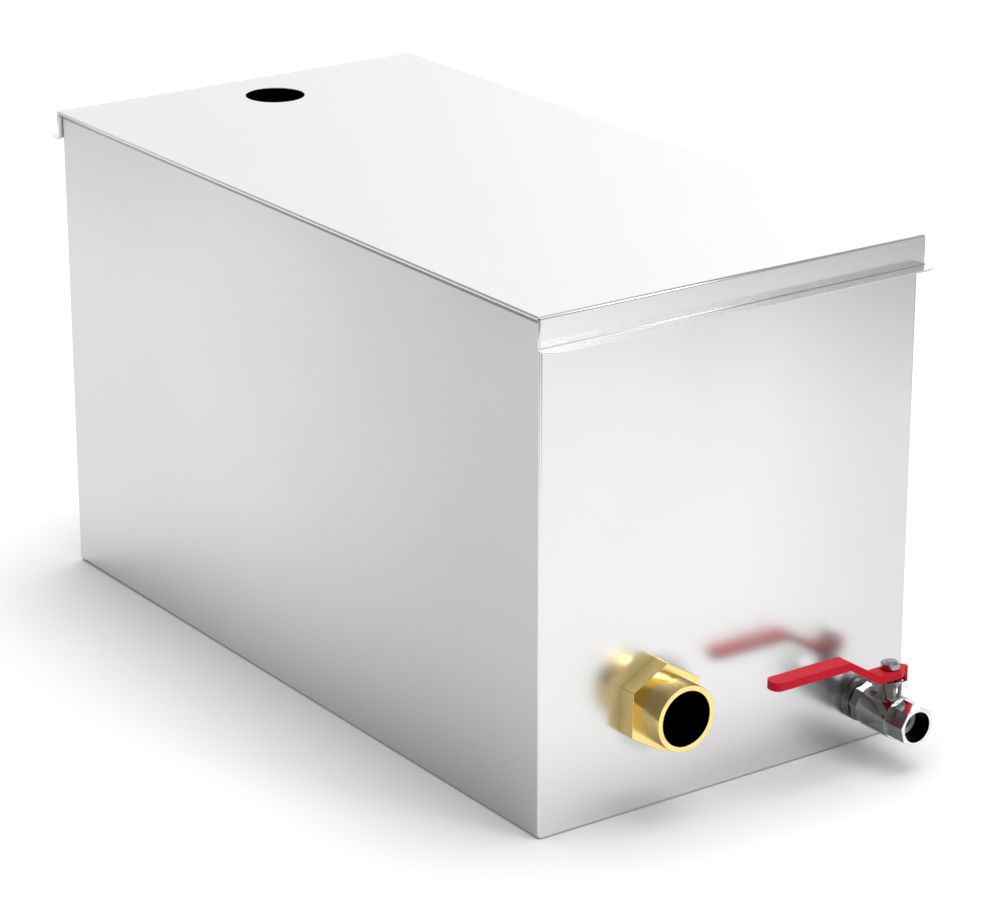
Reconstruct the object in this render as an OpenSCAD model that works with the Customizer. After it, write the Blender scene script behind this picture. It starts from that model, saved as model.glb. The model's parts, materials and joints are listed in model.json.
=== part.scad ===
// Under-sink grease trap: a folded stainless tank with a loose lid, baffles and a solids basket,
// a brass outlet fitting and a drain ball valve with a cranked lever.
// Millimetres, +Z up. X runs along the tank to the outlet end, -Y is the front long wall,
// and the origin lies on the floor under the middle of the tank.

/* [Tank] */
// Length of the tank over its end walls
tank_l = 550; // [450:5:800]
// Width of the tank over its long walls
tank_w = 280; // [240:5:400]
// Height of the tank's rim above the floor
tank_h = 321; // [281:5:451]
// Thickness of the tank's sheet steel
sheet_t = 1.5; // [1:0.1:2]
// Inside radius of the tank's folds
fold_r = 1; // [0.5:0.1:2]
// Width of the rim that is folded inwards along each wall
rim_w = 14; // [10:1:25]
// Gap between the rims where they meet at a corner
rim_gap = 0.5; // [0.2:0.1:2]
// Radius that the upright corner welds are ground to
corner_r = 1.5; // [0.5:0.1:1.5]
// Height of the end walls' lower edge above the floor
end_wall_lift = 0.8; // [0:0.1:1]

/* [Lid] */
// Thickness of the lid's sheet
lid_t = 1.1; // [0.8:0.1:1.5]
// Inside radius of the fold between the lid and its end flanges
lid_fold_r = 0.6; // [0.4:0.1:2]
// Overhang of the lid past each long wall
lid_overhang = 3; // [1:0.5:8]
// How far the hems along the lid's side edges reach in over the long walls
hem_inset = 2; // [1:0.5:2]
// Gap between the hems of an end flange and the end wall behind them
lid_gap = 0.8; // [0.5:0.1:3]
// Height of the end flanges, from the top of the lid to the underside of the lips
flange_h = 20; // [14:1:40]
// How far the lips stand out from the end flanges
lip_w = 10; // [8:0.5:25]
// Inside radius of the fold between a flange and its lip
lip_fold_r = 0.6; // [0.4:0.1:4]
// Radius of the lips' outer corners
lip_corner_r = 5; // [2:0.5:7]
// Diameter of the inlet hole in the lid
inlet_d = 40.5; // [32:0.5:60]
// Thickness of the rubber seal under the lid
seal_t = 2; // [2:0.5:5]
// Width of the seal's strip
seal_w = 9; // [5:1:10]
// Distance from the tank's outer faces to the seal
seal_inset = 3; // [2.5:0.5:5]

/* [Chambers] */
// Length of the inlet chamber, from the end wall to the inlet baffle
inlet_chamber_l = 89; // [70:1:160]
// Height of the passage under the inlet baffle
inlet_passage_h = 60; // [30:5:100]
// Length of the outlet chamber, from the grease baffle to the end wall
outlet_chamber_l = 145; // [110:5:200]
// Height of the passage under the grease baffle
outlet_passage_h = 50; // [30:5:100]
// Distance from the rim down to the tops of the baffles
baffle_drop = 20; // [10:1:40]
// Width of the flanges folded along the baffles' sides
baffle_flange_w = 12; // [8:1:25]
// Height of the weir that the water leaves over
weir_h = 235; // [160:5:260]
// Length of the weir box, measured from the outlet end wall
weir_l = 78; // [60:1:100]
// Width of the weir box, measured from the front long wall
weir_w = 150; // [130:5:180]

/* [Solids basket] */
// Thickness of the basket's sheet
basket_t = 1; // [0.8:0.1:1.5]
// Inside radius of the basket's folds
basket_fold_r = 1.5; // [0.5:0.1:3]
// Length of the basket across the tank
basket_l = 180; // [120:5:210]
// Height of the basket
basket_h = 120; // [80:5:160]
// Space between the basket's sides and the walls of the inlet chamber
basket_side_gap = 10; // [8:0.5:14]
// Gap between the basket's rims and the walls of the inlet chamber
basket_rim_gap = 1.5; // [1:0.1:3]
// Distance from the tank's rim down to the basket's rim
basket_drop = 30; // [25:1:60]
// Width of the basket's slots
slot_w = 4; // [2:0.5:6]
// Spacing of the basket's slots
slot_pitch = 14; // [10:1:25]
// Space between the slots and the basket's edges
slot_margin = 14; // [8:1:25]
// Thickness of the rails that carry the basket
rail_t = 1.5; // [1:0.1:2.5]
// Gap between a rail's free edge and the basket's side
rail_gap = 1; // [0.5:0.1:2]
// Height of the rails' upright leg
rail_h = 16; // [10:1:25]
// Length of the rails
rail_l = 200; // [150:5:210]

/* [Outlet fitting] */
// Distance of the outlet's axis from the outside of the front long wall
outlet_inset = 84; // [70:1:90]
// Height of the outlet's axis above the floor
outlet_z = 68; // [50:1:120]
// Outside diameter of the outlet tube and its wall thread
outlet_d = 41.9; // [38:0.1:46]
// Bore of the outlet
outlet_bore_d = 34.9; // [20:0.1:38]
// Width across flats of the outlet's hexagon
outlet_af = 49.5; // [46:0.5:56]
// Thickness of the outlet's hexagon
outlet_hex_t = 12.4; // [6:0.2:16]
// Angle at which the hexagon came tight, 0 with a corner up, degrees
outlet_turn = -1.5; // [-30:0.5:30]
// How far the outlet stands out from the end wall
outlet_reach = 32; // [24:0.5:60]
// Length of the outlet's thread inside the end wall
outlet_thread_l = 20; // [18:0.5:35]
// Clearance round the outlet's thread in the wall, the gasket and the locknut
outlet_gap = 0.1; // [0.05:0.05:0.5]
// Thickness of the outlet's gasket
outlet_gasket_t = 2; // [1:0.5:4]
// Diameter of the outlet's gasket
outlet_gasket_d = 56; // [52:1:62]
// Width across flats of the outlet's locknut
locknut_af = 54; // [52:1:60]
// Thickness of the outlet's locknut
locknut_t = 9; // [7:0.5:14]

/* [Drain valve] */
// Distance of the drain valve's axis from the outside of the back long wall
drain_inset = 36; // [30:1:50]
// Height of the drain valve's axis above the floor
drain_z = 30; // [25:1:60]
// Diameter of the drain's bore through nipple, ball and end piece
port_d = 12; // [8:0.5:13]
// Diameter of the pipe threads at both ends of the valve
pipe_d = 19.7; // [18:0.1:21]
// Clearance round the pipe thread and the end piece's thread
thread_gap = 0.05; // [0.02:0.01:0.1]
// Thickness of the nipple's collar between the end wall and the valve
collar_t = 6.3; // [3:0.1:12]
// How far the nipple stands into the tank
nipple_inset = 3; // [1:0.5:10]
// Depth of the pipe thread in the valve body
socket_l = 11.2; // [8:0.1:16]
// Depth of the pipe thread in the end piece
outlet_socket_l = 12.5; // [8:0.1:14]
// Metal left round a pipe thread at the middle of an octagon's flats
octagon_wall = 2.1; // [1.5:0.1:4]
// Length of the octagon on the valve body
body_octagon_l = 8; // [5:0.5:11]
// Length of the end piece's octagon
end_octagon_l = 15.4; // [15:0.1:25]
// Angle that the valve's octagons are turned round their axis
octagon_turn = -8; // [-22:1:22]
// Diameter of the ball
ball_d = 19; // [18.5:0.1:20.5]
// Gap between the ball and the valve body's chamber
ball_gap = 0.7; // [0.4:0.1:1.5]
// Wall of the valve body round its chamber
valve_wall = 3.2; // [2.5:0.1:5]
// Gap between the ball and the seats' round faces
seat_gap = 0.1; // [0.05:0.05:0.3]
// Thickness of a seat at its bore
seat_t = 1.8; // [1.6:0.1:3]
// Depth of the pockets that hold the seats
pocket_l = 3; // [2:0.1:3.2]
// Diameter of the seats
seat_d = 16.4; // [16:0.1:17]
// How far the seats stand out of their pockets
seat_proud = 0.6; // [0.2:0.1:0.8]
// Length of the end piece's thread in the valve body
end_thread_l = 5; // [4:0.1:8]
// Metal between the pipe thread and the inner seat
port_web = 3; // [2:0.1:6]

/* [Valve stem] */
// Diameter of the stem
stem_d = 8; // [7:0.1:8.5]
// Clearance round the stem
stem_gap = 0.05; // [0.02:0.01:0.1]
// Diameter of the collar that keeps the stem in the valve body
stem_collar_d = 10.4; // [9.6:0.1:11]
// Thickness of the stem's collar
stem_collar_t = 1.4; // [1:0.1:2]
// Gaps above, below and round the stem's collar
stem_collar_gap = 0.1; // [0.05:0.05:0.3]
// Width of the stem's tongue in the ball
tongue_w = 3.8; // [3:0.1:4.5]
// Clearance of the tongue in the ball's slot
tongue_gap = 0.1; // [0.05:0.05:0.3]
// Metal left between the ball's slot and its bore
slot_web = 1; // [0.5:0.1:1.5]
// Diameter of the valve body's neck
neck_d = 15; // [14:0.1:16]
// Diameter of the stem's packing
packing_d = 11; // [10:0.1:11.5]
// Height of the packing
packing_h = 3.2; // [1.5:0.1:5]
// Metal between the stem's collar and the packing
neck_web = 1.5; // [0.8:0.1:2.5]
// Height of the round gland nut in the neck's mouth
gland_h = 6.5; // [4:0.1:8]
// Width of the two slots across the gland nut's top
gland_slot_w = 2; // [1.5:0.1:3]
// Depth of the gland nut's slots
gland_slot_h = 1.5; // [1:0.1:3]

/* [Lever] */
// Width of the lever
lever_w = 12; // [12:0.5:16]
// Thickness of the lever
lever_t = 5.5; // [3:0.1:6]
// Height of the lever above the valve's neck
lever_gap = 1.3; // [0.8:0.1:4]
// Distance from the stem to the lever's tip
lever_reach = 95; // [80:1:130]
// Radius of the lever's corners at its tip
lever_tip_r = 5; // [2:0.5:5.5]
// Distance from the stem to the foot of the lever's slope
crank_start = 13; // [10:0.5:20]
// Length of the slope along the lever
crank_run = 24; // [15:0.5:35]
// Height that the slope gains
crank_rise = 15; // [5:0.5:25]
// Distance from the stem to the back of the lever's heel
heel_reach = 12.2; // [11.8:0.1:16]
// Distance from the stem to the start of the heel's long cut
heel_cut = 4; // [0:0.5:8]
// Distance from the lever's middle to the side of the heel that faces the first stop
heel_side = 2.5; // [2:0.1:4]
// Width of the heel's back
heel_w = 3; // [1:0.1:5]
// Thickness of the turned-down heel
heel_t = 2; // [1.5:0.1:3]
// Height of the heel below the lever
heel_h = 4.3; // [3.5:0.1:5]
// Gap between the heel and a stop at the ends of the lever's travel
stop_gap = 0.3; // [0.1:0.1:1]
// Thickness of the valve body's stops
stop_t = 1.8; // [1.5:0.1:4]
// Height of the stops
stop_h = 5; // [3:0.1:6]
// Height by which the heel hangs below the tops of the stops
stop_lap = 0.9; // [0.6:0.1:2]
// Width of the stem's flats under the lever
stem_flat_w = 6; // [5:0.1:6.5]
// Diameter of the stem's thread above the lever
stem_thread_d = 6; // [4:0.1:6]
// Width across flats of the lever's nut
nut_af = 11; // [10:0.1:13]
// Height of the lever's nut
nut_h = 5; // [4:0.1:8]
// Diameter of the flat left on the nut's chamfered ends
nut_face_d = 8.4; // [7:0.1:9.5]
// How far the stem stands out of its nut
stem_tip = 0.3; // [0.2:0.1:3]

/* [Hidden] */
$fn = 72;

// Overlap that lets a cut run past the face it cuts
cut = 1;

// Tank
bend_r = fold_r + sheet_t;
inner_x = tank_l / 2 - sheet_t;
inner_y = tank_w / 2 - sheet_t;
rim_half_w = tank_w / 2 - rim_w - rim_gap;

// Lid
lid_z = tank_h + seal_t;
lid_top = lid_z + lid_t;
lid_bend_r = lid_fold_r + lid_t;
lid_w = tank_w + 2 * lid_overhang;
hem_w = lid_overhang + hem_inset;
flange_x = tank_l / 2 + lid_gap + 2 * lid_t;
flange_top = lid_top - lid_bend_r;
lip_z = lid_top - flange_h;
lip_bend_z = lip_z + lid_t + lip_fold_r;
lip_x = flange_x + lip_w;
inlet_x = -inner_x + inlet_chamber_l / 2;

// Chambers
baffle_top = tank_h - baffle_drop;
inlet_baffle_x = -inner_x + inlet_chamber_l;
grease_baffle_x = inner_x - outlet_chamber_l;

// Basket
basket_w = inlet_chamber_l - 2 * basket_side_gap;
basket_top = tank_h - basket_drop;
basket_z = basket_top - basket_h;
basket_rim_w = basket_side_gap - basket_rim_gap;
basket_bend_r = basket_fold_r + basket_t;
slot_run = basket_l - 2 * slot_margin;
slot_count = floor(slot_run / slot_pitch);
end_slot_count = floor((basket_w - 2 * slot_margin) / slot_pitch);
rail_top = basket_top - basket_t;
rail_w = basket_side_gap - rail_gap;

// Fittings
outlet_y = outlet_inset - tank_w / 2;
drain_y = tank_w / 2 - drain_inset;

// Valve, measured along its axis from the outer face of the end wall
ball_r = ball_d / 2;
port_r = port_d / 2;
pipe_r = pipe_d / 2;
seat_r = seat_d / 2;
chamber_r = ball_r + ball_gap;
barrel_r = chamber_r + valve_wall;
octagon_af = pipe_d + 2 * octagon_wall;
seat_back = sqrt(ball_r * ball_r - port_r * port_r) + seat_t;
seat_front = seat_back - pocket_l;
ball_s = collar_t + socket_l + port_web + seat_back;
body_end_s = ball_s + seat_front + end_thread_l;
valve_end_s = body_end_s + end_octagon_l;

// Valve, measured upwards from its axis
stem_r = stem_d / 2;
stem_bore_r = stem_r + stem_gap;
slot_z = port_r + slot_web;
stem_collar_z = chamber_r + stem_collar_gap;
stem_collar_top = stem_collar_z + stem_collar_t;
packing_z = stem_collar_top + stem_collar_gap + neck_web;
gland_z = packing_z + packing_h;
neck_top = gland_z + gland_h;
lever_z = neck_top + lever_gap;
lever_top = lever_z + lever_t;
stop_reach = heel_reach - heel_t / 2;
stop_top = lever_z - heel_h + stop_lap;

// Finishes
steel = [0.80, 0.81, 0.82];
brass = [0.86, 0.68, 0.26];
chrome = [0.66, 0.67, 0.69];
rubber = [0.10, 0.10, 0.10];
ptfe = [0.93, 0.93, 0.90];
lever_red = [0.80, 0.10, 0.15];

// Turns a shape that is drawn flat so that it faces +X, with its x along Y and its y along Z
module facing_x() {
    rotate([90, 0, 90]) children();
}

// Runs a section drawn in x and z along Y, centred
module run_along_y(length) {
    rotate([90, 0, 0]) linear_extrude(length, center = true) children();
}

module both_sides() {
    children();
    mirror([1, 0, 0]) children();
}

// Quarter turn of a folded sheet, in the first quadrant round its centre
module bend(inside_r, thickness) {
    intersection() {
        difference() {
            circle(inside_r + thickness);
            circle(inside_r);
        }
        square(inside_r + thickness);
    }
}

module rounded_rect(w, h, r) {
    square([w - 2 * r, h], center = true);
    square([w, h - 2 * r], center = true);
    for (x = [-1, 1], y = [-1, 1]) {
        translate([x * (w / 2 - r), y * (h / 2 - r)]) circle(r);
    }
}

// Regular prism along Z, given its width across flats
module prism(sides, af, h) {
    cylinder(d = af / cos(180 / sides), h = h, $fn = sides);
}

// Hexagon nut standing on z = 0, with both its ends chamfered down to a round face
module nut_blank(af, h, face_d) {
    outer_r = af / 2 / cos(30) + cut;
    chamfer = (outer_r - face_d / 2) * tan(30);
    intersection() {
        prism(6, af, h);
        rotate_extrude() polygon([
            [0, 0], [face_d / 2, 0], [outer_r, chamfer], [outer_r, h - chamfer], [face_d / 2, h], [0, h]
        ]);
    }
}

// Tank

module trough_half_section() {
    square([tank_w / 2 - bend_r, sheet_t]);
    translate([tank_w / 2 - bend_r, bend_r]) rotate(-90) bend(fold_r, sheet_t);
    translate([tank_w / 2 - sheet_t, bend_r]) square([sheet_t, tank_h - 2 * bend_r]);
    translate([tank_w / 2 - bend_r, tank_h - bend_r]) bend(fold_r, sheet_t);
    translate([tank_w / 2 - rim_w, tank_h - sheet_t]) square([rim_w - bend_r, sheet_t]);
}

module trough() {
    color(steel)
        translate([-inner_x, 0, 0]) facing_x()
            linear_extrude(2 * inner_x) both_sides() trough_half_section();
}

// Flat of an end wall, open at the top where its rim is folded
module end_wall_flat() {
    flat_h = tank_h - end_wall_lift;
    difference() {
        translate([0, end_wall_lift + flat_h / 2]) rounded_rect(tank_w, flat_h, bend_r);
        translate([-rim_half_w, tank_h - bend_r]) square([2 * rim_half_w, bend_r + cut]);
    }
}

module end_wall_rim_section() {
    translate([tank_l / 2 - bend_r, tank_h - bend_r]) bend(fold_r, sheet_t);
    translate([tank_l / 2 - rim_w, tank_h - sheet_t]) square([rim_w - bend_r, sheet_t]);
}

module end_wall() {
    intersection() {
        translate([inner_x, 0, 0]) facing_x() linear_extrude(sheet_t) end_wall_flat();
        linear_extrude(tank_h) rounded_rect(tank_l, tank_w, corner_r);
    }
    run_along_y(2 * rim_half_w) end_wall_rim_section();
}

module inlet_end_wall() {
    color(steel) mirror([1, 0, 0]) end_wall();
}

module outlet_end_wall() {
    color(steel) difference() {
        end_wall();
        at_outlet() translate([0, 0, -sheet_t - cut])
            cylinder(r = outlet_d / 2 + outlet_gap, h = sheet_t + 2 * cut);
        at_drain() translate([0, 0, -sheet_t - cut])
            cylinder(r = pipe_r + thread_gap, h = sheet_t + 2 * cut);
    }
}

// Lid

// Half of the lid's section down to the foot of its flange
module lid_half_section() {
    translate([0, lid_z]) square([flange_x - lid_bend_r, lid_t]);
    translate([flange_x - lid_bend_r, flange_top]) bend(lid_fold_r, lid_t);
    translate([flange_x - lid_t, lip_bend_z]) square([lid_t, flange_top - lip_bend_z]);
}

module lip_section() {
    translate([flange_x + lip_fold_r, lip_bend_z]) rotate(180) bend(lip_fold_r, lid_t);
    translate([flange_x + lip_fold_r, lip_z]) square([lip_w - lip_fold_r, lid_t]);
}

// Edge of the sheet folded flat on itself, drawn with its outside on y = 0 and its round at x = 0
module hem_section() {
    translate([-lid_t, -lid_t]) intersection() {
        circle(lid_t);
        translate([0, -lid_t]) square([lid_t, 2 * lid_t]);
    }
    translate([-hem_w, -2 * lid_t]) square([hem_w - lid_t, 2 * lid_t]);
}

// Hems along one side edge of the lid's top and of both its flanges
module side_hems() {
    top_l = 2 * (flange_x - lid_bend_r);
    translate([-top_l / 2, lid_w / 2, lid_top]) facing_x() linear_extrude(top_l) hem_section();
    both_sides() translate([flange_x, lid_w / 2, lip_bend_z]) rotate(90) mirror([0, 1, 0])
        linear_extrude(flange_top - lip_bend_z) hem_section();
}

module lid() {
    color(steel) difference() {
        union() {
            run_along_y(lid_w - 2 * lid_t) both_sides() lid_half_section();
            intersection() {
                run_along_y(lid_w) both_sides() lip_section();
                translate([0, 0, lip_z]) linear_extrude(flange_h)
                    rounded_rect(2 * lip_x, lid_w, lip_corner_r);
            }
            side_hems();
            mirror([0, 1, 0]) side_hems();
        }
        translate([inlet_x, 0, lid_z - cut]) cylinder(d = inlet_d, h = lid_t + 2 * cut);
    }
}

module lid_seal() {
    seal_l = tank_l - 2 * seal_inset;
    seal_b = tank_w - 2 * seal_inset;
    color(rubber) translate([0, 0, tank_h]) linear_extrude(seal_t) difference() {
        square([seal_l, seal_b], center = true);
        square([seal_l - 2 * seal_w, seal_b - 2 * seal_w], center = true);
    }
}

// Chambers

// Plan of a baffle whose sides are folded along the long walls, its face on x = 0
module baffle_plan() {
    for (side = [0, 1]) mirror([0, side]) {
        square([sheet_t, inner_y - bend_r]);
        translate([bend_r, inner_y - bend_r]) rotate(90) bend(fold_r, sheet_t);
        translate([bend_r, inner_y - sheet_t]) square([baffle_flange_w - bend_r, sheet_t]);
    }
}

module inlet_baffle() {
    passage_top = sheet_t + inlet_passage_h;
    color(steel) translate([inlet_baffle_x, 0, passage_top])
        linear_extrude(baffle_top - passage_top) baffle_plan();
}

module grease_baffle() {
    passage_top = sheet_t + outlet_passage_h;
    color(steel) translate([grease_baffle_x, 0, passage_top])
        linear_extrude(baffle_top - passage_top) mirror([1, 0]) baffle_plan();
}

// Sheet box round the outlet, notched at its foot to clear the trough's fold
module weir_box() {
    front_x = inner_x - weir_l;
    side_y = -inner_y + weir_w;
    color(steel) difference() {
        translate([0, 0, sheet_t]) linear_extrude(weir_h - sheet_t) {
            translate([front_x, -inner_y]) square([sheet_t, weir_w - bend_r]);
            translate([front_x + bend_r, side_y - bend_r]) rotate(90) bend(fold_r, sheet_t);
            translate([front_x + bend_r, side_y - sheet_t]) square([weir_l - bend_r, sheet_t]);
        }
        translate([front_x - cut, -inner_y - cut, sheet_t - cut])
            cube([sheet_t + 2 * cut, fold_r + cut, fold_r + cut]);
    }
}

// Solids basket

// Angle that carries one rim of the basket, its back on x = 0
module basket_rail_section() {
    translate([0, rail_top - rail_h]) square([rail_t, rail_h]);
    translate([0, rail_top - rail_t]) square([rail_w, rail_t]);
}

module basket_rail_end() {
    color(steel) translate([-inner_x, 0, 0]) run_along_y(rail_l) basket_rail_section();
}

module basket_rail_baffle() {
    color(steel) translate([inlet_baffle_x, 0, 0]) mirror([1, 0, 0])
        run_along_y(rail_l) basket_rail_section();
}

module basket_half_section() {
    square([basket_w / 2 - basket_bend_r, basket_t]);
    translate([basket_w / 2 - basket_bend_r, basket_bend_r]) rotate(-90) bend(basket_fold_r, basket_t);
    translate([basket_w / 2 - basket_t, basket_bend_r]) square([basket_t, basket_h - basket_bend_r]);
    translate([basket_w / 2 - basket_t, basket_h - basket_t]) square([basket_rim_w + basket_t, basket_t]);
}

// Row of slots through both of two facing walls, drawn along y and centred on y = 0
module slot_row(count, slot_l, depth) {
    for (i = [0 : count]) {
        translate([0, (i - count / 2) * slot_pitch, 0]) cube([slot_l, slot_w, depth], center = true);
    }
}

module solids_basket() {
    side_slot_h = basket_h - 2 * slot_margin;
    color(steel) translate([inlet_x, 0, basket_z]) difference() {
        union() {
            run_along_y(basket_l) both_sides() basket_half_section();
            for (y = [-1, 1]) {
                translate([-basket_w / 2 + basket_t, y * (basket_l - basket_t) / 2 - basket_t / 2, basket_t])
                    cube([basket_w - 2 * basket_t, basket_t, basket_h - basket_t]);
            }
        }
        translate([0, 0, basket_t / 2])
            slot_row(slot_count, basket_w - 2 * slot_margin, basket_t + cut);
        translate([0, 0, basket_h / 2]) rotate([0, 90, 0])
            slot_row(slot_count, side_slot_h, basket_w + cut);
        translate([0, 0, basket_h / 2]) rotate([0, 90, 90])
            slot_row(end_slot_count, side_slot_h, basket_l + cut);
    }
}

// Outlet fitting, drawn along its axis with z = 0 on the outer face of the end wall

module at_outlet() {
    translate([tank_l / 2, outlet_y, outlet_z]) facing_x() children();
}

module outlet_nipple() {
    color(brass) at_outlet() difference() {
        union() {
            rotate(90 + outlet_turn) prism(6, outlet_af, outlet_hex_t);
            translate([0, 0, -sheet_t - outlet_thread_l])
                cylinder(d = outlet_d, h = sheet_t + outlet_thread_l + outlet_reach);
        }
        translate([0, 0, -sheet_t - outlet_thread_l - cut])
            cylinder(d = outlet_bore_d, h = sheet_t + outlet_thread_l + outlet_reach + 2 * cut);
    }
}

module outlet_gasket() {
    color(rubber) at_outlet() translate([0, 0, -sheet_t - outlet_gasket_t]) difference() {
        cylinder(d = outlet_gasket_d, h = outlet_gasket_t);
        translate([0, 0, -cut]) cylinder(r = outlet_d / 2 + outlet_gap, h = outlet_gasket_t + 2 * cut);
    }
}

module outlet_locknut() {
    color(brass) at_outlet() translate([0, 0, -sheet_t - outlet_gasket_t - locknut_t]) difference() {
        nut_blank(locknut_af, locknut_t, locknut_af);
        translate([0, 0, -cut]) cylinder(r = outlet_d / 2 + outlet_gap, h = locknut_t + 2 * cut);
    }
}

// Drain valve, drawn along its axis with z = 0 on the outer face of the end wall

module at_drain() {
    translate([tank_l / 2, drain_y, drain_z]) facing_x() children();
}

// Frame of the stem: z up from the valve's axis, x and y as the tank's
module at_stem() {
    translate([tank_l / 2 + ball_s, drain_y, drain_z]) children();
}

module drain_nipple() {
    spigot_l = socket_l - stem_collar_gap;
    color(chrome) at_drain() difference() {
        union() {
            translate([0, 0, -sheet_t - nipple_inset])
                cylinder(r = pipe_r - thread_gap, h = sheet_t + nipple_inset + collar_t + spigot_l);
            cylinder(r = barrel_r, h = collar_t);
        }
        translate([0, 0, -sheet_t - nipple_inset - cut])
            cylinder(d = port_d, h = sheet_t + nipple_inset + collar_t + spigot_l + 2 * cut);
    }
}

// Bores of the valve body along its axis, from the pipe thread to the open end
module valve_body_bores() {
    socket_end = collar_t + socket_l;
    translate([0, 0, collar_t - cut]) cylinder(r = pipe_r, h = socket_l + cut);
    translate([0, 0, socket_end - cut]) cylinder(r = port_r, h = port_web + 2 * cut);
    translate([0, 0, ball_s - seat_back]) cylinder(r = seat_r + thread_gap, h = pocket_l + cut);
    translate([0, 0, ball_s - seat_front])
        cylinder(r = chamber_r, h = body_end_s - ball_s + seat_front + cut);
}

// Ear on the neck that the lever's heel meets when the valve is closed
module lever_stop() {
    translate([heel_side + stop_gap, 0, stop_top - stop_h]) cube([stop_t, stop_reach, stop_h]);
}

module valve_body() {
    color(chrome) difference() {
        union() {
            at_drain() translate([0, 0, collar_t]) rotate(90 + octagon_turn)
                prism(8, octagon_af, body_octagon_l + cut);
            at_drain() translate([0, 0, collar_t + body_octagon_l])
                cylinder(r = barrel_r, h = body_end_s - collar_t - body_octagon_l);
            at_stem() cylinder(d = neck_d, h = neck_top);
            at_stem() lever_stop();
            at_stem() rotate(90) mirror([1, 0, 0]) lever_stop();
        }
        at_drain() valve_body_bores();
        at_stem() cylinder(r = stem_bore_r, h = neck_top + cut);
        at_stem() cylinder(r = stem_collar_d / 2 + stem_collar_gap, h = stem_collar_top + stem_collar_gap);
        at_stem() translate([0, 0, packing_z]) cylinder(d = packing_d, h = neck_top - packing_z + cut);
    }
}

module valve_end_piece() {
    inner_end = ball_s + seat_front;
    color(chrome) at_drain() difference() {
        union() {
            translate([0, 0, inner_end]) cylinder(r = chamber_r - thread_gap, h = end_thread_l);
            translate([0, 0, body_end_s]) rotate(90 + octagon_turn) prism(8, octagon_af, end_octagon_l);
        }
        translate([0, 0, inner_end - cut]) cylinder(r = seat_r + thread_gap, h = pocket_l + cut);
        translate([0, 0, inner_end]) cylinder(r = port_r, h = valve_end_s - inner_end);
        translate([0, 0, valve_end_s - outlet_socket_l]) cylinder(r = pipe_r, h = outlet_socket_l + cut);
    }
}

// Seat ring on the outlet side of the ball, whose middle is the origin
module seat() {
    difference() {
        cylinder(r = seat_r, h = seat_back);
        translate([0, 0, -cut]) cylinder(r = port_r, h = seat_back + 2 * cut);
        sphere(r = ball_r + seat_gap);
        translate([0, 0, -cut]) cylinder(r = seat_r + cut, h = seat_front - seat_proud + cut);
    }
}

module inner_seat() {
    color(ptfe) at_drain() translate([0, 0, ball_s]) mirror([0, 0, 1]) seat();
}

module outer_seat() {
    color(ptfe) at_drain() translate([0, 0, ball_s]) seat();
}

module stem_packing() {
    color(ptfe) at_stem() translate([0, 0, packing_z]) difference() {
        cylinder(r = packing_d / 2 - thread_gap, h = packing_h);
        translate([0, 0, -cut]) cylinder(r = stem_bore_r, h = packing_h + 2 * cut);
    }
}

module gland_nut() {
    color(chrome) at_stem() difference() {
        translate([0, 0, gland_z]) cylinder(r = packing_d / 2 - thread_gap, h = gland_h);
        translate([0, 0, gland_z - cut]) cylinder(r = stem_bore_r, h = gland_h + 2 * cut);
        translate([-packing_d / 2, -gland_slot_w / 2, neck_top - gland_slot_h])
            cube([packing_d, gland_slot_w, gland_slot_h + cut]);
    }
}

// Ball with its bore across the pipe, as it stands when the valve is closed
module ball() {
    color(chrome) at_stem() difference() {
        sphere(r = ball_r);
        rotate([90, 0, 0]) cylinder(r = port_r, h = ball_d + 2 * cut, center = true);
        translate([-ball_r - cut, -tongue_w / 2 - tongue_gap, slot_z])
            cube([ball_d + 2 * cut, tongue_w + 2 * tongue_gap, ball_r]);
    }
}

// Round of the stem between its two flats
module stem_flats(length) {
    intersection() {
        cylinder(r = stem_r, h = length);
        translate([-stem_flat_w / 2, -stem_d, 0]) cube([stem_flat_w, 2 * stem_d, length]);
    }
}

module stem() {
    tongue_z = slot_z + tongue_gap;
    color(chrome) at_stem() {
        intersection() {
            translate([-stem_r, -tongue_w / 2, tongue_z])
                cube([stem_d, tongue_w, stem_collar_z - tongue_z + stem_collar_t / 2]);
            cylinder(r = stem_r, h = lever_z);
        }
        translate([0, 0, stem_collar_z]) cylinder(d = stem_collar_d, h = stem_collar_t);
        translate([0, 0, stem_collar_z]) cylinder(r = stem_r, h = lever_z - stem_collar_z);
        translate([0, 0, lever_z]) stem_flats(lever_t);
        translate([0, 0, lever_top - cut]) cylinder(d = stem_thread_d, h = nut_h + stem_tip + cut);
    }
}

// Lever

// Side of the lever, drawn with x towards its heel and y up from its underside
module lever_side() {
    crank_end = crank_start + crank_run;
    polygon([
        [heel_reach, lever_t],
        [-crank_start, lever_t],
        [-crank_end, lever_t + crank_rise],
        [-lever_reach, lever_t + crank_rise],
        [-lever_reach, crank_rise],
        [-crank_end, crank_rise],
        [-crank_start, 0],
        [heel_reach - heel_t, 0],
        [heel_reach - heel_t, -heel_h],
        [heel_reach, -heel_h]
    ]);
}

// Plan of the lever, drawn with y towards its heel, whose two corners are cut off
module lever_plan() {
    half_w = lever_w / 2;
    bevel = half_w + heel_side - heel_w;
    polygon([
        [half_w, lever_tip_r - lever_reach],
        [half_w, heel_cut],
        [heel_side, heel_reach - heel_t],
        [heel_side, heel_reach],
        [heel_side - heel_w, heel_reach],
        [-half_w, heel_reach - bevel],
        [-half_w, lever_tip_r - lever_reach]
    ]);
    translate([lever_tip_r - half_w, -lever_reach]) square([lever_w - 2 * lever_tip_r, lever_tip_r + cut]);
    for (side = [-1, 1]) {
        translate([side * (half_w - lever_tip_r), lever_tip_r - lever_reach]) circle(lever_tip_r);
    }
}

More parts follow.
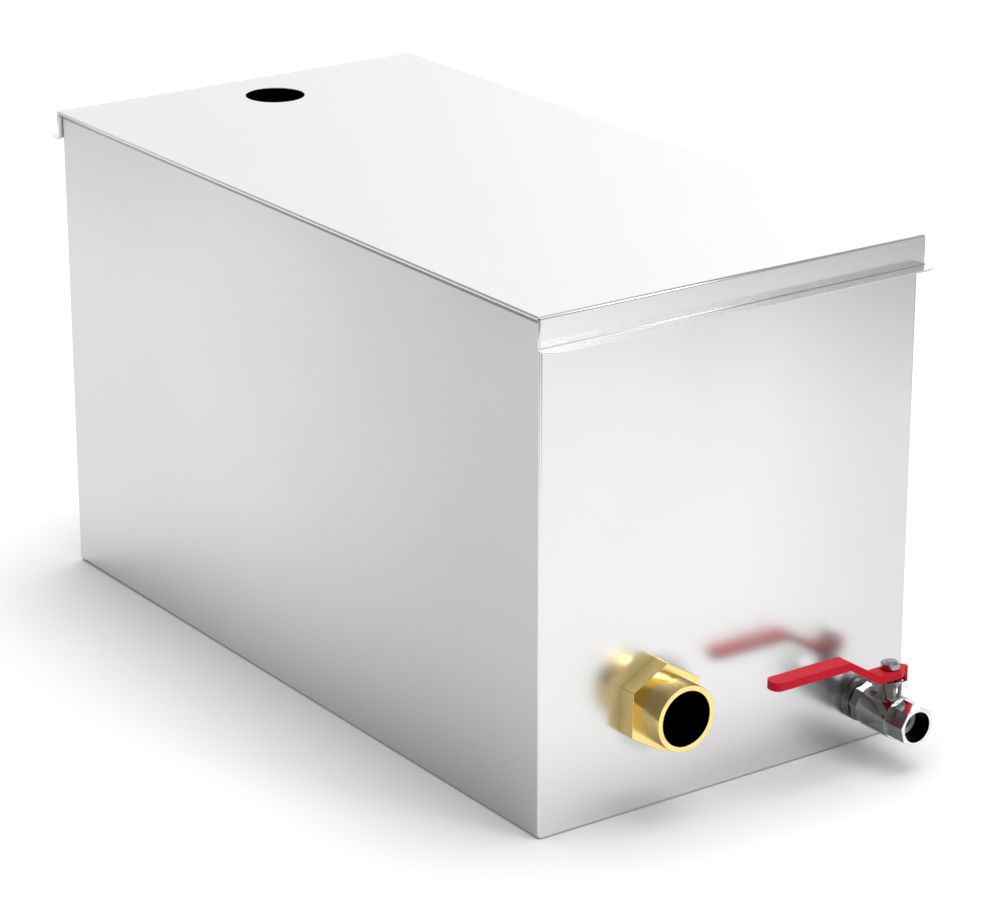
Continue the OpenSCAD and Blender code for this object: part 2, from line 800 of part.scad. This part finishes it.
module lever() {
    color(lever_red) at_stem() translate([0, 0, lever_z]) difference() {
        intersection() {
            facing_x() linear_extrude(lever_w, center = true) lever_side();
            translate([0, 0, -heel_h]) linear_extrude(heel_h + lever_t + crank_rise) lever_plan();
        }
        translate([0, 0, -cut]) intersection() {
            cylinder(r = stem_bore_r, h = lever_t + 2 * cut);
            translate([-stem_flat_w / 2 - stem_gap, -stem_d, 0])
                cube([stem_flat_w + 2 * stem_gap, 2 * stem_d, lever_t + 2 * cut]);
        }
    }
}

module lever_nut() {
    color(chrome) at_stem() translate([0, 0, lever_top]) difference() {
        rotate(30) nut_blank(nut_af, nut_h, nut_face_d);
        translate([0, 0, -cut]) cylinder(r = stem_thread_d / 2 + stem_gap, h = nut_h + 2 * cut);
    }
}

trough();
inlet_end_wall();
outlet_end_wall();
lid();
lid_seal();
inlet_baffle();
grease_baffle();
weir_box();
basket_rail_end();
basket_rail_baffle();
solids_basket();
outlet_nipple();
outlet_gasket();
outlet_locknut();
drain_nipple();
valve_body();
valve_end_piece();
inner_seat();
outer_seat();
stem_packing();
gland_nut();
ball();
stem();
lever();
lever_nut();
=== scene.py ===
"""Look of the grease trap: satin stainless tank and lid, brass outlet, plated drain valve, red lever."""

import json
import math

import bpy
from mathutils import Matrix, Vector

# Lengths are in metres. A grey level g stands for the colour (g, g, g).

# Steel sheet: grey level of the dark and of the light in its grain, roughness. The copies are one steel, set
# lighter or darker as painted light and shade.
SHEET_STEEL = {
    # painted shade: the long walls' steel is set darker than the end walls'
    "tank_steel": (0.58, 0.68, 0.29),
    # painted light: the end walls' steel is set lighter than the long walls'
    "lit_end_steel": (0.72, 0.82, 0.25),
    "lid_steel": (0.75, 0.81, 0.16),
    # painted shade: the steel inside the tank is set darker, as the shade in there
    "inner_steel": (0.42, 0.48, 0.32),
    "basket_steel": (0.42, 0.48, 0.30),
}
SHEET_GRAIN = 1400.0
SHEET_CLOUDS = 9.0
SHEET_SWING = 0.02
SHEET_RELIEF = 0.12
SHEET_DEPTH = 0.00002

# Turned metal: colour of the dark and of the light in its mottling, roughness, strength of its turning marks
TURNED_METAL = {
    # painted shade: the brass is set darker, and its ends and tops are lifted as painted highlight
    "brass": ((0.53, 0.397, 0.154), (0.56, 0.432, 0.178), 0.10, 0.03),
    # painted shade: the valve's plating is set dark, and its ends and tops are lifted as painted highlight
    "valve_chrome": ((0.20, 0.21, 0.21), (0.26, 0.27, 0.27), 0.10, 0.03),
    "nut_steel": ((0.28, 0.29, 0.29), (0.34, 0.35, 0.35), 0.16, 0.04),
    # painted shade: the drain nipple's steel is set nearly black, as the shade round it
    "nipple_steel": ((0.10, 0.10, 0.10), (0.14, 0.14, 0.14), 0.30, 0.03),
    "ball_chrome": ((0.40, 0.40, 0.41), (0.46, 0.46, 0.47), 0.08, 0.01),
}
TURNED_MOTTLE = 240.0
TURNED_CLOUDS = 60.0
TURNED_SWING = 0.03
TURNING_PITCH = 0.0006
TURNING_DEPTH = 0.00001

# Coating, rubber and plastic: dark and light colour, roughness, scale of the mottling, strength of its relief
PLAIN_FINISH = {
    "rubber": ((0.010, 0.010, 0.010), (0.018, 0.018, 0.018), 0.60, 900.0, 0.2),
    "seat_plastic": ((0.78, 0.78, 0.74), (0.84, 0.84, 0.80), 0.45, 600.0, 0.1),
    "lever_red": ((0.62, 0.013, 0.029), (0.68, 0.018, 0.037), 0.34, 500.0, 0.1),
}
PLAIN_CLOUDS = 40.0
PLAIN_SWING = 0.04
PLAIN_DEPTH = 0.00003
LEVER_SPECULAR = 0.05

# Painted light and shade: slow change of colour along the walls, lighter towards -X and darker towards +X and
# +Y: from where to where, and the shares of the colour there
TANK_PAINTED_SHADING_ALONG_X = ((-0.10, 0.26), (1.06, 0.82))
END_PAINTED_SHADING_ALONG_Y = ((0.0, 0.14), (1.03, 0.88))

# Painted shade on the end wall close round the outlet: share of its colour that is left there, and the
# distances from the middle of the outlet at which that shade is full and gone
OUTLET_PAINTED_SHADE = 0.76
OUTLET_PAINTED_SHADE_ENDS = (0.025, 0.035)

# Painted shade on the wall of a bore: share of a metal's colour that is left there. As shares of the bore's
# radius: middle of the band that is darkened, and how far from there the shade is full and gone
BORE_SHADE = 0.03
BORE_BAND_MIDDLE = 0.98
BORE_BAND_ENDS = (0.02, 0.03)

# Matt step at the end of a bore: shares of the bore's radius between which it turns into bright metal
STEP_ENDS = (0.95, 0.97)

# Painted highlight: lift of the colour on faces square to X and on flat tops, and the cosines between which a
# face comes to count as one
BRASS_PAINTED_HIGHLIGHT = 1.76
CHROME_PAINTED_HIGHLIGHT = 3.3
PAINTED_HIGHLIGHT_COSINES = (0.90, 0.97)

# Range that nearly all values of a noise lie in
NOISE_ENDS = (0.3, 0.7)

NODE_FINISH = {
    "tank_steel": ["trough"],
    "lit_end_steel": ["inlet_end_wall", "outlet_end_wall"],
    "lid_steel": ["lid"],
    "inner_steel": ["inlet_baffle", "grease_baffle", "weir_box", "basket_rail_end", "basket_rail_baffle"],
    "basket_steel": ["solids_basket"],
    "rubber": ["lid_seal", "outlet_gasket"],
    "brass": ["outlet_nipple", "outlet_locknut"],
    "nut_steel": ["stem", "lever_nut"],
    "nipple_steel": ["drain_nipple"],
    "valve_chrome": ["valve_body", "valve_end_piece", "gland_nut"],
    "ball_chrome": ["ball"],
    "seat_plastic": ["inner_seat", "outer_seat", "stem_packing"],
    "lever_red": ["lever"],
}

# Width of the rounding on each node's edges that stand out by more than the angle
SHARP_EDGE = math.radians(40.0)
EDGE_SEGMENTS = 2
WELD_REACH = 0.000001
EDGE_WIDTH = {
    "trough": 0.0003,
    "inlet_end_wall": 0.0003,
    "outlet_end_wall": 0.0003,
    "lid": 0.0004,
    "inlet_baffle": 0.0002,
    "grease_baffle": 0.0002,
    "weir_box": 0.0002,
    "outlet_nipple": 0.0003,
    "outlet_locknut": 0.0004,
    "drain_nipple": 0.0004,
    "valve_body": 0.0003,
    "valve_end_piece": 0.00015,
    "gland_nut": 0.0002,
    "stem": 0.0002,
    "lever": 0.0006,
    "lever_nut": 0.0003,
}

# Camera, solved from the photograph's corners
VIEW_TARGET = Vector((0.0, 0.02648, 0.12399))
VIEW_AZIMUTH = math.radians(54.787)
VIEW_ELEVATION = math.radians(19.991)
VIEW_DISTANCE = 2.4365
VIEW_FOCAL_PX = 3700.3
PHOTO_WIDTH_PX = 1000
SENSOR_WIDTH_MM = 36.0

# White paper laid along the camera's view, on a floor that reflects as grey past its two sides: a painted
# pool of light, with painted shade past its sides that shows in reflections.
# The paper's glow is the share of its white that shows to the eye and in reflections, and the sides' glow
# shows to the eye only. Both fall off where the part stands close, as a painted contact shadow.
FLOOR_SIZE = 24.0
FLOOR_DROP = 0.0002
FLOOR_ROUGHNESS = 0.9
PAPER_LEVEL = 0.64
PAPER_GLOW = 0.45
SHADED_SIDE_LEVEL = 0.42
SIDE_GLOW = 0.64
PAPER_ACROSS = Vector((math.cos(VIEW_AZIMUTH), math.sin(VIEW_AZIMUTH), 0.0))
PAPER_MIDDLE = -0.15
PAPER_LIGHT_POOL_FADE = (1.08, 1.60)
# Painted contact shadow on the floor: reach and depth of the fall-off of the glow
CONTACT_SHADE_REACH = 0.12
CONTACT_SHADE_DEPTH = 1.3

# Soft light from all round, brighter panels in some directions, and one large lamp above
SURROUND_LEVEL = 0.40
PANELS = [
    # plan angle from +X, height angle, light added at its middle, angle from the middle to its edge
    (150.0, 15.0, 0.64, 60.0),
    (110.0, 10.0, 0.48, 40.0),
    (28.0, 28.5, 9.0, 12.0),
    (29.0, 18.0, 0.5, 14.0),
    (5.0, 38.0, 0.85, 25.0),
    (0.0, 88.0, 0.45, 35.0),
]
LAMP_DIRECTION = Vector((0.05, 0.20, 1.0))
LAMP_STRENGTH = 1.21
LAMP_ANGLE = math.radians(40.0)

WHITE = (1.0, 1.0, 1.0, 1.0)


class NodeTree:
    """Short ways to add and join nodes."""

    def __init__(self, tree):
        self.tree = tree

    def node(self, kind, **values):
        made = self.tree.nodes.new(kind)
        for key, value in values.items():
            setattr(made, key, value)
        return made

    def link(self, source, target):
        self.tree.links.new(source, target)

    def maths(self, operation, first, second=None):
        made = self.node("ShaderNodeMath", operation=operation)
        for socket, value in zip(made.inputs, (first, second)):
            if value is None:
                continue
            if isinstance(value, (int, float)):
                socket.default_value = value
            else:
                self.link(value, socket)
        return made.outputs["Value"]

    def dot(self, vector, direction):
        made = self.node("ShaderNodeVectorMath", operation="DOT_PRODUCT")
        made.inputs[1].default_value = direction
        self.link(vector, made.inputs[0])
        return made.outputs["Value"]

    def split(self, vector):
        made = self.node("ShaderNodeSeparateXYZ")
        self.link(vector, made.inputs["Vector"])
        return made.outputs

    def spread(self, value, from_range, to_range, smooth=False):
        """Value mapped from one range to another, and held at its ends."""
        made = self.node("ShaderNodeMapRange", interpolation_type="SMOOTHSTEP" if smooth else "LINEAR")
        ends = ("From Min", "From Max", "To Min", "To Max")
        for name, end in zip(ends, (*from_range, *to_range)):
            made.inputs[name].default_value = end
        self.link(value, made.inputs["Value"])
        return made.outputs["Result"]


class Shader(NodeTree):
    """A Principled material with object coordinates at hand."""

    def __init__(self, name, metallic, roughness):
        self.material = bpy.data.materials.new(name)
        self.material.use_nodes = True
        super().__init__(self.material.node_tree)
        self.inputs = self.tree.nodes["Principled BSDF"].inputs
        self.inputs["Metallic"].default_value = metallic
        self.inputs["Roughness"].default_value = roughness
        self.roughness = roughness
        self.coords = self.node("ShaderNodeTexCoord").outputs["Object"]

    def noise(self, scale, detail=2.0):
        made = self.node("ShaderNodeTexNoise")
        made.inputs["Scale"].default_value = scale
        made.inputs["Detail"].default_value = detail
        self.link(self.coords, made.inputs["Vector"])
        return made.outputs["Fac"]

    def tint(self, factor, dark, light, ends=(0.0, 1.0)):
        """Base colour that runs from dark to light as the factor goes from end to end."""
        ramp = self.node("ShaderNodeValToRGB")
        for stop, position, colour in zip(ramp.color_ramp.elements, ends, (dark, light)):
            stop.position = position
            stop.color = (*colour, 1.0)
        self.link(factor, ramp.inputs["Fac"])
        self.link(ramp.outputs["Color"], self.inputs["Base Color"])

    def vary_roughness(self, factor, swing):
        ends = (self.roughness - swing, self.roughness + swing)
        self.link(self.spread(factor, NOISE_ENDS, ends), self.inputs["Roughness"])

    def bump(self, height, strength, distance):
        made = self.node("ShaderNodeBump")
        made.inputs["Strength"].default_value = strength
        made.inputs["Distance"].default_value = distance
        self.link(height, made.inputs["Height"])
        self.link(made.outputs["Normal"], self.inputs["Normal"])

    def scale_colour(self, factor):
        """Base colour as set so far, times the factor."""
        scaled = self.node("ShaderNodeVectorMath", operation="SCALE")
        self.link(self.inputs["Base Color"].links[0].from_socket, scaled.inputs[0])
        self.link(factor, scaled.inputs["Scale"])
        self.link(scaled.outputs["Vector"], self.inputs["Base Color"])

    def paint_shading_along(self, axis, ends, shares):
        """Painted light and shade: slow change of the colour along one axis of the object."""
        self.scale_colour(self.spread(self.split(self.coords)[axis], ends, shares, smooth=True))

    def from_axis(self, point):
        """Distance from the line through a point along X, and the place along that line."""
        place = self.split(self.coords)
        across = self.maths("SUBTRACT", place["Y"], point.y)
        up = self.maths("SUBTRACT", place["Z"], point.z)
        square = self.maths("ADD", self.maths("MULTIPLY", across, across), self.maths("MULTIPLY", up, up))
        return self.maths("SQRT", square), place["X"]

    def paint_shade_round(self, point, ends, share):
        """Painted soft shade on a wall round the place where a fitting stands out of it."""
        distance = self.node("ShaderNodeVectorMath", operation="DISTANCE")
        distance.inputs[1].default_value = point
        self.link(self.coords, distance.inputs[0])
        self.scale_colour(self.spread(distance.outputs["Value"], ends, (share, 1.0), smooth=True))

    def turning_marks(self, point):
        """Fine rings round an axis along X, on end faces as well as on the outside."""
        distance, along = self.from_axis(point)
        path = self.maths("ADD", distance, along)
        return self.maths("SINE", self.maths("MULTIPLY", path, 2.0 * math.pi / TURNING_PITCH))

    def darken_bore(self, point, radius):
        """Darkens the wall of a bore along X, where no light reaches."""
        distance, _ = self.from_axis(point)
        off_wall = self.maths("ABSOLUTE", self.maths("SUBTRACT", distance, radius * BORE_BAND_MIDDLE))
        ends = [radius * share for share in BORE_BAND_ENDS]
        self.scale_colour(self.spread(off_wall, ends, (BORE_SHADE, 1.0)))

    def paint_highlight_on_faces(self, ratio):
        """Painted highlight: lifts the colour on faces square to X and on flat tops."""
        normal = self.split(self.node("ShaderNodeTexCoord").outputs["Normal"])
        square_on = self.maths("MAXIMUM", self.maths("ABSOLUTE", normal["X"]), normal["Z"])
        self.scale_colour(self.spread(square_on, PAINTED_HIGHLIGHT_COSINES, (1.0, ratio)))

    def dull_step(self, point, radius):
        """Bare matt metal on the step at the end of a bore along X."""
        distance, _ = self.from_axis(point)
        ends = [radius * share for share in STEP_ENDS]
        self.link(self.spread(distance, ends, (0.0, 1.0)), self.inputs["Metallic"])


def grey(level):
    return (level, level, level)


def satin_steel(name, dark, light, roughness):
    """Stainless sheet: fine even grain, slightly cloudy gloss."""
    shader = Shader(name, 1.0, roughness)
    grain = shader.noise(SHEET_GRAIN)
    shader.tint(grain, grey(dark), grey(light), NOISE_ENDS)
    shader.vary_roughness(shader.noise(SHEET_CLOUDS, detail=3.0), SHEET_SWING)
    shader.bump(grain, SHEET_RELIEF, SHEET_DEPTH)
    return shader


def turned_metal(name, axis, dark, light, roughness, marks):
    """Metal turned on a lathe, with fine rings round its axis."""
    shader = Shader(name, 1.0, roughness)
    shader.tint(shader.noise(TURNED_MOTTLE, detail=3.0), dark, light, NOISE_ENDS)
    shader.vary_roughness(shader.noise(TURNED_CLOUDS), TURNED_SWING)
    shader.bump(shader.turning_marks(axis), marks, TURNING_DEPTH)
    return shader


def plain_finish(name, dark, light, roughness, grain, relief):
    """Coating, rubber or plastic with a little mottling."""
    shader = Shader(name, 0.0, roughness)
    speckle = shader.noise(grain)
    shader.tint(speckle, dark, light, NOISE_ENDS)
    shader.vary_roughness(shader.noise(PLAIN_CLOUDS), PLAIN_SWING)
    shader.bump(speckle, relief, PLAIN_DEPTH)
    return shader


def find_bore(record, name):
    """Middle of a bore's mouth and its radius, from the record's mounts."""
    mount = next(m for m in record["mounts"] if m["name"] == name)
    return Vector(mount["pos_m"]), mount["dims"]["r_mm"] / 1000.0


def make_finishes(record):
    outlet, outlet_bore_r = find_bore(record, "outlet_bore")
    drain, drain_bore_r = find_bore(record, "drain_outlet")
    finishes = {}
    for name, values in SHEET_STEEL.items():
        finishes[name] = satin_steel(name, *values)
    for name, values in TURNED_METAL.items():
        finishes[name] = turned_metal(name, outlet if name == "brass" else drain, *values)
    for name, values in PLAIN_FINISH.items():
        finishes[name] = plain_finish(name, *values)

    # painted light and shade along the long walls and the end walls
    finishes["tank_steel"].paint_shading_along("X", *TANK_PAINTED_SHADING_ALONG_X)
    finishes["lit_end_steel"].paint_shading_along("Y", *END_PAINTED_SHADING_ALONG_Y)
    # painted shade round the outlet
    finishes["lit_end_steel"].paint_shade_round(outlet, OUTLET_PAINTED_SHADE_ENDS, OUTLET_PAINTED_SHADE)
    # painted highlight on the brass's ends and tops
    finishes["brass"].paint_highlight_on_faces(BRASS_PAINTED_HIGHLIGHT)
    finishes["brass"].darken_bore(outlet, outlet_bore_r)
    # painted highlight on the valve's ends and tops
    finishes["valve_chrome"].paint_highlight_on_faces(CHROME_PAINTED_HIGHLIGHT)
    finishes["valve_chrome"].dull_step(drain, drain_bore_r)
    finishes["valve_chrome"].darken_bore(drain, drain_bore_r)
    finishes["lever_red"].inputs["Specular IOR Level"].default_value = LEVER_SPECULAR
    return finishes


def mark_outer_edges():
    """Node group that gives a bevel weight to the sharp edges that stand out."""
    group = bpy.data.node_groups.new("outer_edges", "GeometryNodeTree")
    for in_out in ("INPUT", "OUTPUT"):
        group.interface.new_socket("Geometry", in_out=in_out, socket_type="NodeSocketGeometry")
    steps = NodeTree(group)
    angle = steps.node("GeometryNodeInputMeshEdgeAngle").outputs["Signed Angle"]
    store = steps.node("GeometryNodeStoreNamedAttribute", data_type="FLOAT", domain="EDGE")
    store.inputs["Name"].default_value = "bevel_weight_edge"
    steps.link(steps.maths("GREATER_THAN", angle, SHARP_EDGE), store.inputs["Value"])
    steps.link(steps.node("NodeGroupInput").outputs["Geometry"], store.inputs["Geometry"])
    steps.link(store.outputs["Geometry"], steps.node("NodeGroupOutput").inputs["Geometry"])
    return group


def round_edges(node, width, outer_edges):
    """Small rounded edges that catch the light; the node's own mesh is left as it is."""
    weld = node.modifiers.new("weld", "WELD")
    weld.merge_threshold = WELD_REACH
    node.modifiers.new("outer edges", "NODES").node_group = outer_edges
    bevel = node.modifiers.new("edges", "BEVEL")
    bevel.width = width
    bevel.segments = EDGE_SEGMENTS
    bevel.limit_method = "WEIGHT"
    bevel.harden_normals = True


def dress_nodes(nodes, finishes):
    for finish, names in NODE_FINISH.items():
        for name in names:
            mesh = nodes[name].data
            mesh.materials.clear()
            mesh.materials.append(finishes[finish].material)
    outer_edges = mark_outer_edges()
    for name, width in EDGE_WIDTH.items():
        round_edges(nodes[name], width, outer_edges)


def paint_floor():
    """White paper that fades to grey at its sides, a painted pool of light, with a glow that falls off close
    to the part as a painted contact shadow.
    """
    paint = Shader("floor_paint", 0.0, FLOOR_ROUGHNESS)
    paint.inputs["Specular IOR Level"].default_value = 0.0
    paint.inputs["Emission Color"].default_value = WHITE
    along = paint.maths("SUBTRACT", paint.dot(paint.coords, PAPER_ACROSS), PAPER_MIDDLE)
    off_middle = paint.maths("ABSOLUTE", along)
    # painted pool of light: white along the view, grey past its sides
    in_light_pool = paint.spread(off_middle, PAPER_LIGHT_POOL_FADE, (1.0, 0.0), smooth=True)
    past_light_pool = paint.spread(off_middle, PAPER_LIGHT_POOL_FADE, (0.0, SIDE_GLOW), smooth=True)
    paint.tint(in_light_pool, grey(SHADED_SIDE_LEVEL), grey(PAPER_LEVEL))

    rays = paint.node("ShaderNodeLightPath").outputs
    seen = paint.maths("MAXIMUM", rays["Is Camera Ray"], rays["Is Glossy Ray"])
    paper_glow = paint.maths("MULTIPLY", paint.maths("MULTIPLY", in_light_pool, PAPER_GLOW), seen)
    side_glow = paint.maths("MULTIPLY", past_light_pool, rays["Is Camera Ray"])
    # painted contact shadow: the glow falls off by ambient occlusion close to the part
    contact = paint.node("ShaderNodeAmbientOcclusion")
    contact.inputs["Distance"].default_value = CONTACT_SHADE_REACH
    open_floor = paint.maths("POWER", contact.outputs["AO"], CONTACT_SHADE_DEPTH)
    glow = paint.maths("MULTIPLY", paint.maths("ADD", paper_glow, side_glow), open_floor)
    paint.link(glow, paint.inputs["Emission Strength"])
    return paint.material


def make_floor():
    half = FLOOR_SIZE / 2.0
    corners = [(-half, -half, 0), (half, -half, 0), (half, half, 0), (-half, half, 0)]
    mesh = bpy.data.meshes.new("floor")
    mesh.from_pydata(corners, [], [(0, 1, 2, 3)])
    mesh.materials.append(paint_floor())
    floor = bpy.data.objects.new("floor", mesh)
    floor.location.z = -FLOOR_DROP
    bpy.context.collection.objects.link(floor)


def heading(plan, height):
    """Unit vector at a plan angle from +X and a height angle, in radians."""
    flat = math.cos(height)
    return Vector((math.cos(plan) * flat, math.sin(plan) * flat, math.sin(height)))


def make_surroundings():
    """Even soft light with a few brighter panels that fade out at their edges; plain white to the eye."""
    world = bpy.data.worlds.new("studio")
    bpy.context.scene.world = world
    world.use_nodes = True
    sky = NodeTree(world.node_tree)
    direction = sky.node("ShaderNodeTexCoord").outputs["Generated"]
    level = SURROUND_LEVEL
    for plan, height, strength, edge in PANELS:
        facing = sky.dot(direction, heading(math.radians(plan), math.radians(height)))
        edge_cosine = math.cos(math.radians(edge))
        panel = sky.spread(facing, (edge_cosine, 1.0), (0.0, strength), smooth=True)
        level = sky.maths("ADD", panel, level)
    to_eye = sky.node("ShaderNodeLightPath").outputs["Is Camera Ray"]
    unseen = sky.maths("MULTIPLY", level, sky.maths("SUBTRACT", 1.0, to_eye))
    background = sky.tree.nodes["Background"].inputs
    sky.link(sky.maths("ADD", unseen, to_eye), background["Strength"])
    background["Color"].default_value = WHITE


def make_lamp():
    """Large soft lamp above, left out of reflections so that it leaves no white patch on the lid."""
    lamp = bpy.data.lights.new("key", "SUN")
    lamp.energy = LAMP_STRENGTH
    lamp.angle = LAMP_ANGLE
    key = bpy.data.objects.new("key", lamp)
    key.rotation_euler = (-LAMP_DIRECTION).to_track_quat("-Z", "Y").to_euler()
    key.visible_glossy = False
    bpy.context.collection.objects.link(key)


def make_camera():
    lens = bpy.data.cameras.new("camera")
    lens.sensor_fit = "HORIZONTAL"
    lens.sensor_width = SENSOR_WIDTH_MM
    lens.lens = VIEW_FOCAL_PX / PHOTO_WIDTH_PX * SENSOR_WIDTH_MM
    camera = bpy.data.objects.new("camera", lens)
    away = heading(VIEW_AZIMUTH - math.pi / 2.0, VIEW_ELEVATION)
    camera.location = VIEW_TARGET + VIEW_DISTANCE * away
    camera.rotation_euler = (-away).to_track_quat("-Z", "Y").to_euler()
    bpy.context.collection.objects.link(camera)
    bpy.context.scene.camera = camera


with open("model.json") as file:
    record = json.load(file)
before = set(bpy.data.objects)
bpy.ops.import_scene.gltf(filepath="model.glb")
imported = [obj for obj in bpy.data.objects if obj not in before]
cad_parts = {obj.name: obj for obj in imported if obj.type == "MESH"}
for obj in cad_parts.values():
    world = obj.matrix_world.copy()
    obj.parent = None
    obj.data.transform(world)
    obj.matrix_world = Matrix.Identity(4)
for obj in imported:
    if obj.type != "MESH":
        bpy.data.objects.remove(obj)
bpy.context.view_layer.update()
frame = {"nodes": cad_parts, "record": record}

dress_nodes(frame["nodes"], make_finishes(frame["record"]))
make_floor()
make_surroundings()
make_lamp()
make_camera()
bpy.context.scene.view_settings.view_transform = "Standard"
